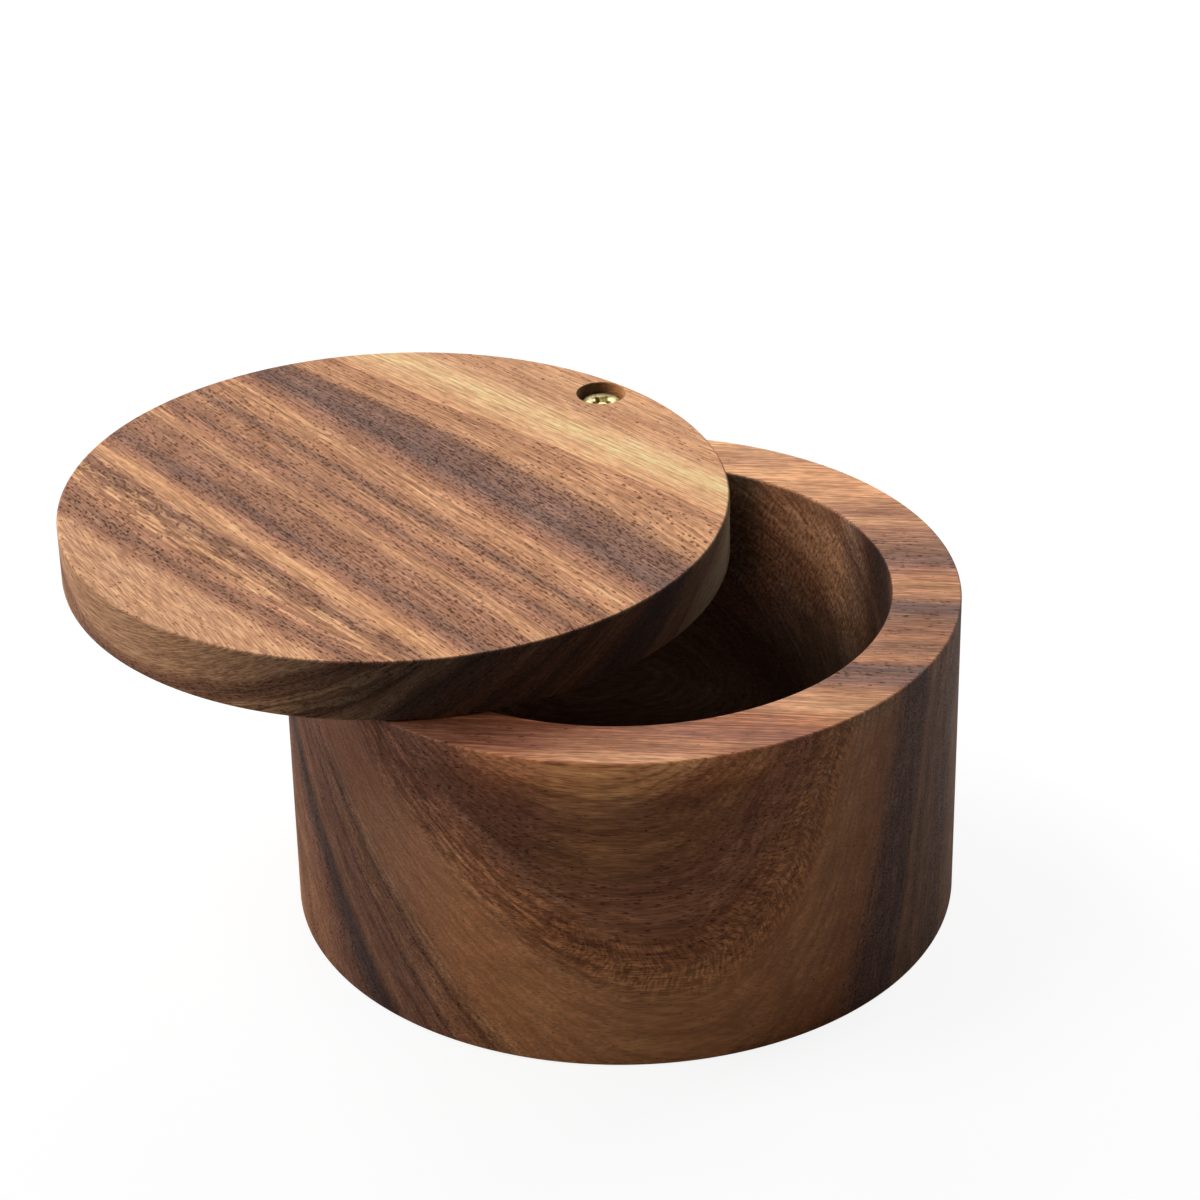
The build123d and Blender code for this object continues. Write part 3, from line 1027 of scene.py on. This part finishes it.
@dataclass
class PivotScrew:
    """The brass pan-head wood screw that the lid turns on."""

    span: Span
    material: bpy.types.Material
    side_height: float = 1.9
    shank_radius: float = 2.1
    length: float = 32.0  # below the head
    shank_length: float = 10.5
    thread_root: float = 1.5
    thread_pitch: float = 1.7
    point_length: float = 4.0
    tip_radius: float = 0.2
    recess_span: float = 4.6
    recess_width: float = 1.1
    recess_core_radius: float = 1.25
    recess_depth: float = 2.1
    arm_foot: float = 0.4  # the foot of a recess's arm, as a share of its mouth
    core_foot: float = 0.45  # the same of its core
    crown_rise: float = 0.25
    corner_sweep: float = 82.0  # how far round the head's corner turns, in degrees
    corner_rings: int = 7
    sides: int = HOLE_SIDES

    def build(self) -> bpy.types.Object:
        """Model the screw.

        Returns:
            The finished screw, in place.
        """
        top = self.span.high
        underside = self.span.low + self.length
        bench = Bench("screw_brass", self.span.radius, underside, underside + self.side_height,
                      self.span.centre, self.sides)
        self.shape_crown(bench, underside + self.side_height, top)
        self.shape_shank(bench, underside)
        bench.leave()
        for quarter in (0, 1):
            bench.cut(self.recess_arm(quarter, top))
        bench.cut(self.recess_core(top))
        screw = bench.finish(self.material)
        hand_over(screw, "pivot_screw", "bowl")
        return screw

    def shape_crown(self, bench: Bench, shoulder: float, top: float) -> None:
        """Round the head's corner, ring by ring, up to its low crown."""
        radius = self.span.radius
        rise = top - shoulder - self.crown_rise
        outline = [(radius, shoulder)]
        for ring in range(1, self.corner_rings + 1):
            angle = math.radians(self.corner_sweep) * ring / self.corner_rings
            outline.append((radius - rise * (1 - math.cos(angle)), shoulder + rise * math.sin(angle)))
        outline += [(share * radius, top - self.crown_rise * share ** 2) for share in (0.75, 0.5, 0.25)]
        bench.pick_level(shoulder)
        bench.follow(outline)

    def shape_shank(self, bench: Bench, underside: float) -> None:
        """Draw the shank down from the head, then the thread's rings and the point."""
        shank_end = underside - self.shank_length
        taper = self.span.low + self.point_length
        rings = math.floor((shank_end - taper) / self.thread_pitch)
        flank = self.thread_pitch / 4
        shank, root = self.shank_radius, self.thread_root
        outline = [(shank, underside), (shank, shank_end), (root, shank_end)]
        for ring in reversed(range(rings)):
            crest = taper + (ring + 0.5) * self.thread_pitch
            outline += [(root, crest + flank), (shank, crest), (root, crest - flank)]
        outline += [(root, taper), (self.tip_radius, self.span.low)]
        bench.pick_level(underside)
        bench.inset(self.span.radius - shank)
        bench.follow(outline)

    def recess_arm(self, quarter: int, top: float) -> Bench:
        """Make the cutter for one of the recess's two crossed arms, narrow at its foot."""
        arm = Bench("recess_arm", self.recess_span / 2, top - self.recess_depth, top, self.span.centre, 4)
        middle = (self.span.centre[0] * MM, self.span.centre[1] * MM, top * MM)
        eighth = math.radians(45)
        long = math.sqrt(2)  # brings a square's side to the width of its corners
        narrow = long * self.recess_width / self.recess_span
        bpy.ops.mesh.select_all(action="SELECT")
        bpy.ops.transform.rotate(value=eighth, orient_axis="Z", center_override=middle)
        bpy.ops.transform.resize(value=(long, narrow, 1.0), center_override=middle)
        bpy.ops.transform.rotate(value=eighth * (1 + 2 * quarter), orient_axis="Z", center_override=middle)
        self.taper_foot(arm, top, self.arm_foot)
        return arm

    def recess_core(self, top: float) -> Bench:
        """Make the cutter for the cone where the recess's arms meet."""
        core = Bench("recess_core", self.recess_core_radius, top - self.recess_depth, top,
                     self.span.centre, 24)
        self.taper_foot(core, top, self.core_foot)
        return core

    def taper_foot(self, cutter: Bench, top: float, factor: float) -> None:
        """Narrow a cutter's foot, and carry its mouth straight up past the head's crown."""
        cutter.pick_level(top - self.recess_depth)
        cutter.spread(factor)
        cutter.pick_level(top)
        cutter.raise_face(CLEAR)


@dataclass
class ScrewWasher:
    """The flat brass washer between the screw's head and the counterbore's floor."""

    span: Span
    material: bpy.types.Material
    hole_radius: float = 2.2
    easing: float = 0.12
    sides: int = HOLE_SIDES

    def build(self) -> bpy.types.Object:
        """Model the washer.

        Returns:
            The finished washer, in place.
        """
        span = self.span
        bench = Bench("washer_brass", span.radius, span.low, span.high, span.centre, self.sides)
        for level in (span.low, span.high):
            bench.ease(span.radius, level, self.easing, 3)
        bench.leave()
        hole = Bench("washer_hole", self.hole_radius, span.low - CLEAR, span.high + CLEAR, span.centre,
                     self.sides)
        bench.cut(hole)
        washer = bench.finish(self.material)
        hand_over(washer, "screw_washer", "lid")
        return washer


# ---------------------------------------------------------------------------------------------------------
# The bowl
# ---------------------------------------------------------------------------------------------------------

@dataclass
class TurnedBowl:
    """The bowl: a turned block with a coved hollow, eased edges and the screw's stepped pilot hole."""

    span: Span
    pivot: tuple[float, float]
    screw: Span
    material: bpy.types.Material
    wall: float = 13.0
    floor: float = 11.0
    cove: float = 8.0
    cove_segments: int = 14
    rim_easing: float = 0.5
    base_easing: float = 0.8
    shank_hole: float = 2.15
    shank_hole_floor: float = 61.3
    thread_hole: float = 1.55
    thread_hole_gap: float = 1.5

    def build(self) -> bpy.types.Object:
        """Model the bowl.

        Returns:
            The finished bowl, in place.
        """
        radius, top = self.span.radius, self.span.high
        inner = radius - self.wall
        bench = Bench("bowl_acacia", radius, self.span.low, top)
        bench.pick_level(top)
        bench.inset(self.wall)
        bench.raise_face(self.floor - top)
        bench.ease(inner, self.floor, self.cove, self.cove_segments)
        for ring, level, easing in (
            (inner, top, self.rim_easing),
            (radius, top, self.rim_easing),
            (radius, self.span.low, self.base_easing),
        ):
            bench.ease(ring, level, easing, EDGE_SEGMENTS)
        bench.leave()
        bench.cut(self.pilot_hole(top))
        bowl = bench.finish(self.material)
        hand_over(bowl, "bowl", "bowl")
        return bowl

    def pilot_hole(self, top: float) -> Bench:
        """Make the cutter for the hole in the rim: wide for the shank, then narrow for the thread."""
        hole = Bench("pilot_hole", self.shank_hole, self.shank_hole_floor, top + CLEAR, self.pivot, 64)
        hole.pick_level(self.shank_hole_floor)
        hole.inset(self.shank_hole - self.thread_hole)
        hole.raise_face(self.screw.low - self.thread_hole_gap - self.shank_hole_floor)
        return hole


# ---------------------------------------------------------------------------------------------------------
# The lid
# ---------------------------------------------------------------------------------------------------------

@dataclass
class SwivelLid:
    """The lid: a flat turned disc with eased edges and a counterbored hole near its edge."""

    span: Span
    pivot: tuple[float, float]
    washer: Span
    material: bpy.types.Material
    top_easing: float = 0.5
    bottom_easing: float = 0.6
    counterbore: float = 4.9
    flare: float = 0.12
    shank_hole: float = 2.18

    def build(self) -> bpy.types.Object:
        """Model the lid where it lies, part open.

        Returns:
            The finished lid, in place.
        """
        span = self.span
        bench = Bench("lid_acacia", span.radius, span.low, span.high, span.centre)
        bench.ease(span.radius, span.high, self.top_easing, EDGE_SEGMENTS)
        bench.ease(span.radius, span.low, self.bottom_easing, EDGE_SEGMENTS)
        bench.leave()
        bench.cut(self.screw_hole())
        lid = bench.finish(self.material)
        hand_over(lid, "lid", "lid")
        return lid

    def screw_hole(self) -> Bench:
        """Make the cutter for the screw: a counterbore with a flared mouth, and the shank's hole below."""
        mouth = self.span.high - self.flare
        hole = Bench("screw_hole", self.counterbore, self.washer.low, mouth, self.pivot, HOLE_SIDES)
        hole.pick_level(mouth)
        hole.raise_face(self.flare)
        hole.spread(1 + self.flare / self.counterbore)
        hole.raise_face(CLEAR)
        hole.pick_level(self.washer.low)
        hole.inset(self.counterbore - self.shank_hole)
        hole.raise_face(self.span.low - CLEAR - self.washer.low)
        return hole


# ---------------------------------------------------------------------------------------------------------
# Studio
# ---------------------------------------------------------------------------------------------------------

@dataclass(frozen=True)
class Lamp:
    """A square soft lamp that looks at the box. At a strength of 1 it shows a white face as white."""

    name: str
    azimuth: float  # in degrees, from +X towards +Y
    elevation: float
    distance: float
    side: float
    strength: float

    def place(self, aim: Vector) -> None:
        """Hang the lamp.

        Args:
            aim: The point that it looks at, in millimetres.
        """
        turn, tilt = math.radians(self.azimuth), math.radians(self.elevation)
        away = Vector((math.cos(turn) * math.cos(tilt), math.sin(turn) * math.cos(tilt), math.sin(tilt)))
        light = bpy.data.lights.new(self.name, "AREA")
        light.size = self.side * MM
        light.energy = self.strength * (math.pi * self.distance * MM) ** 2
        holder = bpy.data.objects.new(self.name, light)
        holder.location = (aim + away * self.distance) * MM
        holder.rotation_mode = "QUATERNION"
        holder.rotation_quaternion = away.to_track_quat("Z", "Y")
        bpy.context.scene.collection.objects.link(holder)


@dataclass(frozen=True)
class Studio:
    """A plain white floor and surroundings, soft lamps and the camera."""

    lamps: tuple[Lamp, ...]
    eye: tuple[float, float, float] = (-34.03, -592.53, 390.85)
    heading: float = -2.9006  # in degrees, to the right of +Y where negative
    dip: float = 29.057  # in degrees, below the horizon
    roll: float = -1.1133
    lens: float = 108.649
    sensor: float = 36.0
    floor_size: float = 6000.0
    surround: float = 0.0  # what the surroundings add to the light
    floor_tone: float = 0.5  # the floor as the box sees it
    floor_glow: float = 0.80  # share of the floor's white that no shadow takes away
    floor_white: float = 1.10  # how bright that share is

    def build(self, aim: Vector) -> None:
        """Set up the whole studio round a point in millimetres."""
        scene = bpy.context.scene
        scene.view_settings.view_transform = "Standard"
        self.place_camera(scene)
        self.lay_floor()
        self.light_surroundings(scene)
        for lamp in self.lamps:
            lamp.place(aim)

    def place_camera(self, scene: bpy.types.Scene) -> None:
        """Stand the camera and make it the scene's own."""
        camera = bpy.data.cameras.new("camera")
        camera.lens = self.lens
        camera.sensor_width = self.sensor
        holder = bpy.data.objects.new("camera", camera)
        turns = ((self.heading, "Z"), (90 - self.dip, "X"), (self.roll, "Z"))
        look = Matrix.Identity(3)
        for degrees, axis in turns:
            look = look @ Matrix.Rotation(math.radians(degrees), 3, axis)
        holder.matrix_world = Matrix.Translation(Vector(self.eye) * MM) @ look.to_4x4()
        scene.collection.objects.link(holder)
        scene.camera = holder

    def lay_floor(self) -> None:
        """Lay the floor: white to the eye, and a darker grey as a source of bounced light."""
        bpy.ops.object.select_all(action="DESELECT")
        bpy.ops.mesh.primitive_plane_add(size=self.floor_size * MM)
        floor = bpy.context.active_object
        floor.name = "floor"
        material = new_material("paper_floor")
        tree = material.node_tree
        path = add_node(tree, "LightPath")
        seen = path.outputs["Is Camera Ray"]
        tone = add_node(tree, "Mix", (seen, self.floor_tone, 1.0))
        paper = add_node(tree, "BsdfDiffuse", (add_node(tree, "CombineXYZ", (tone, tone, tone)),))
        glow = add_node(tree, "Emission", ((1.0, 1.0, 1.0, 1.0), self.floor_white))
        share = add_node(tree, "Math", (seen, self.floor_glow), operation="MULTIPLY")
        add_node(tree, "OutputMaterial", (add_node(tree, "MixShader", (share, paper, glow)),))
        floor.data.materials.append(material)

    def light_surroundings(self, scene: bpy.types.Scene) -> None:
        """Make the surroundings white to the eye and in reflections, and weak as light."""
        world = bpy.data.worlds.new("studio")
        world.use_nodes = True
        tree = world.node_tree
        tree.nodes.clear()
        path = add_node(tree, "LightPath")
        white = path.outputs["Is Camera Ray"]
        for ray in ("Is Glossy Ray", "Is Transmission Ray"):
            white = add_node(tree, "Math", (white, path.outputs[ray]), operation="MAXIMUM")
        strength = add_node(tree, "Mix", (white, self.surround, 1.0))
        background = add_node(tree, "Background", ((1.0, 1.0, 1.0, 1.0), strength))
        add_node(tree, "OutputWorld", (background,))
        scene.world = world


# ---------------------------------------------------------------------------------------------------------
# The box
# ---------------------------------------------------------------------------------------------------------

# Growth layers: the depth of each tone in millimetres, from the front of the block to its back.
BOWL_LAYERS = (
    (-66.0, Tone.GOLD), (-61.6, Tone.STRAW), (-60.4, Tone.TAN), (-59.0, Tone.CINNAMON),
    (-57.2, Tone.HONEY), (-55.8, Tone.HONEY), (-54.2, Tone.RUSSET), (-51.5, Tone.RUSSET),
    (-47.5, Tone.CINNAMON), (-45.6, Tone.HONEY), (-44.0, Tone.TAN),
    (-41.0, Tone.TAN), (-37.5, Tone.HONEY), (-34.8, Tone.CINNAMON), (-33.8, Tone.COCOA),
    (-32.0, Tone.TAUPE), (-29.0, Tone.TAUPE), (-27.5, Tone.SLATE), (-25.7, Tone.TAUPE), (-25.2, Tone.RUSSET),
    (-23.2, Tone.CINNAMON), (-20.0, Tone.UMBER), (-16.0, Tone.CINNAMON), (-12.8, Tone.COCOA),
    (-8.0, Tone.UMBER), (-5.6, Tone.TAUPE), (-4.2, Tone.SLATE), (-3.2, Tone.SLATE), (-1.8, Tone.UMBER),
    (0.8, Tone.CINNAMON), (5.0, Tone.HONEY), (8.0, Tone.CINNAMON), (11.0, Tone.RUSSET), (14.0, Tone.TAUPE),
    (16.0, Tone.TAUPE), (18.4, Tone.UMBER), (22.0, Tone.UMBER), (26.5, Tone.RUSSET), (30.0, Tone.TAN),
    (31.2, Tone.TAN), (33.8, Tone.RUSSET), (37.0, Tone.HONEY), (41.0, Tone.GOLD), (51.0, Tone.GOLD),
    (54.8, Tone.CINNAMON), (58.0, Tone.HONEY), (66.0, Tone.TAN), (71.0, Tone.RUSSET), (75.0, Tone.UMBER),
    (78.0, Tone.COCOA), (84.0, Tone.HONEY), (96.0, Tone.TAN),
)

# The same, for the left end of the bowl's block.
FLANK_LAYERS = (
    (-66.0, Tone.GOLD), (-61.6, Tone.GOLD), (-59.0, Tone.RUSSET), (-54.0, Tone.COCOA), (-51.5, Tone.RUSSET),
    (-47.5, Tone.CINNAMON), (-44.0, Tone.TAN), (-37.0, Tone.TAN), (-32.4, Tone.HONEY), (-31.2, Tone.UMBER),
    (-30.4, Tone.CINNAMON), (-27.0, Tone.CINNAMON), (-26.2, Tone.TAUPE), (-25.4, Tone.RUSSET),
    (-20.4, Tone.RUSSET), (-19.2, Tone.UMBER), (-18.0, Tone.RUSSET), (-12.0, Tone.CINNAMON),
    (-8.6, Tone.UMBER), (-6.0, Tone.SLATE), (-3.2, Tone.SLATE), (-1.0, Tone.UMBER), (3.0, Tone.RUSSET),
    (12.0, Tone.CINNAMON), (18.0, Tone.COCOA), (24.0, Tone.CINNAMON), (32.0, Tone.TAN), (50.0, Tone.GOLD),
    (72.0, Tone.RUSSET), (96.0, Tone.TAN),
)

RIM_PATCHES = (
    Patch(((-135.0, -110.0), (-52.0, -66.0)), (63.2, 63.8), (0.84, 0.75, 0.76)),  # redder in front
    Patch(((38.0, 60.0), (150.0, 120.0)), (63.2, 63.8), (1.14, 1.22, 1.24)),  # paler at the back
)

SIDE_PATCHES = (
    Patch(((-116.0, -134.0), (-162.0, -146.0)), (70.0, 60.0), (0.70, 0.76, 0.92)),  # the front left, below the lid's overhang: painted shade
    Patch(((-118.0, -104.0), (-68.0, -82.0)), (28.0, 14.0), (1.16, 1.24, 1.26)),  # the foot of the front: painted bounce light
    Patch(((-110.0, -102.0), (-90.0, -98.0)), (30.0, 44.0), (1.14, 1.18, 1.16)),  # inside the U
    Patch(((-132.0, -110.0), (-58.0, -78.0)), (54.0, 60.0), (1.30, 1.14, 1.05)),  # just below the rim
    Patch(((-132.0, -122.0), (-100.0, -110.0)), (30.0, 42.0), (1.12, 1.20, 1.26)),  # the U's left arm
)

HOLLOW_PATCHES = (
    Patch(((-4.0, 4.0), (19.0, 13.0)), (26.0, 42.0), (0.74, 0.82, 0.86)),  # a dark strip at the right
    Patch(((24.0, 30.0), (56.0, 49.0)), (38.0, 48.0), (1.45, 1.30, 1.18)),  # the bright strip behind it
    Patch(((-40.0, -10.0), (27.0, 14.0)), (26.0, 36.0), (0.36, 0.28, 0.23)),  # the dark right end
    Patch(((38.0, 50.0), (135.0, 100.0)), (57.0, 43.0), (1.05, 1.12, 1.25)),  # the back wall, greyer: painted shade
    Patch((), (44.0, 26.0), (0.76, 0.98, 1.10)),  # all round, low down: painted shade, darker and cooler
    Patch(((51.0, 58.0), (135.0, 100.0)), (34.0, 44.0), (0.45, 0.55, 0.55)),  # the back wall, darker: the lid's painted shadow
)

LID_LAYERS = (
    (-64.0, Tone.TAN), (-50.4, Tone.TAN), (-48.8, Tone.RUSSET), (-46.4, Tone.UMBER), (-44.0, Tone.RUSSET),
    (-40.0, Tone.HONEY), (-36.2, Tone.UMBER), (-34.8, Tone.RUSSET), (-33.2, Tone.HONEY), (-30.6, Tone.GOLD),
    (-27.8, Tone.RUSSET), (-24.6, Tone.TAUPE), (-21.2, Tone.COCOA), (-16.6, Tone.COCOA),
    (-13.6, Tone.HONEY), (-10.6, Tone.RUSSET), (-8.8, Tone.COCOA), (-8.3, Tone.UMBER), (-7.8, Tone.COCOA),
    (-4.6, Tone.CINNAMON), (-1.5, Tone.UMBER), (1.5, Tone.CINNAMON), (5.0, Tone.HONEY), (9.0, Tone.RUSSET),
    (12.4, Tone.TAUPE), (14.8, Tone.SLATE), (18.0, Tone.TAUPE), (22.0, Tone.TAUPE), (24.0, Tone.UMBER),
    (26.6, Tone.HONEY), (33.5, Tone.CINNAMON), (34.0, Tone.GOLD), (38.6, Tone.STRAW), (42.0, Tone.CREAM),
    (45.2, Tone.STRAW), (48.6, Tone.TAN), (52.0, Tone.HONEY), (56.0, Tone.TAN), (64.0, Tone.GOLD),
    (84.0, Tone.TAN),
)

LID_VEINS = (
    (-34.9, 0.7, Tone.UMBER), (-8.4, 0.5, Tone.TAUPE), (-1.4, 0.5, Tone.TAUPE), (4.4, 0.5, Tone.GOLD),
    (5.2, 0.3, Tone.UMBER), (6.2, 0.4, Tone.GOLD), (33.7, 0.25, Tone.RUSSET),
)

LAMPS = (
    Lamp("back_left", azimuth=135.0, elevation=35.0, distance=1300.0, side=600.0, strength=0.43),
    Lamp("back", azimuth=90.0, elevation=35.0, distance=1300.0, side=600.0, strength=0.16),
    Lamp("back_right", azimuth=45.0, elevation=35.0, distance=1300.0, side=600.0, strength=0.32),
    Lamp("left_top", azimuth=180.0, elevation=60.0, distance=1300.0, side=600.0, strength=0.30),
    Lamp("left_low", azimuth=180.0, elevation=12.0, distance=1300.0, side=600.0, strength=0.12),
    Lamp("front_low", azimuth=270.0, elevation=35.0, distance=1300.0, side=600.0, strength=0.015),
)


def main() -> None:
    """Build the salt box and its studio, piece by piece."""
    logging.basicConfig(level=logging.INFO, format="%(name)s: %(message)s")
    bowl, lid, screw, washer = (Span.of(node) for node in ("bowl", "lid", "pivot_screw", "screw_washer"))
    pivot = screw.centre
    open_angle = math.atan2(pivot[0] - lid.centre[0], pivot[1] - lid.centre[1])
    log.info("pivot at %.2f, %.2f mm; lid open by %.1f degrees", *pivot, math.degrees(open_angle))

    bowl_wood = BowlAcacia(
        "oiled_acacia_bowl", BOWL_LAYERS, flank=FLANK_LAYERS, height=bowl.high,
        rim_patches=RIM_PATCHES, side_patches=SIDE_PATCHES, hollow_patches=HOLLOW_PATCHES, fray=2.0,
        # the end grain darker, its bluish cast a painted sheen of the white surroundings
        end_grain_and_shade_tint=(0.58, 0.76, 1.05), pore_plenty=0.75,
    ).material()
    lid_wood = LidAcacia(
        "oiled_acacia_lid", LID_LAYERS, veins=LID_VEINS, turn=open_angle, pivot=pivot, top=lid.high,
        # the lid's dark end-grain tint, wide reach, one-sided end and leaning fibres paint shade on its unlit
        # front-right edge
        end_grain_and_shade_tint=(0.16, 0.20, 0.25), end_grain_and_shade_faces=(-0.25, 0.75), far_end_share=0.0,
        end_grain_roughness=0.6, fibre_lean=6.0, pore_plenty=1.05,
    ).material()
    brass = Brass().material()

    TurnedBowl(bowl, pivot, screw, bowl_wood).build()
    SwivelLid(lid, pivot, washer, lid_wood).build()
    ScrewWasher(washer, brass).build()
    PivotScrew(screw, brass).build()

    Studio(LAMPS).build(Vector((0.0, 0.0, bowl.high)))


if __name__ == "__main__":
    main()
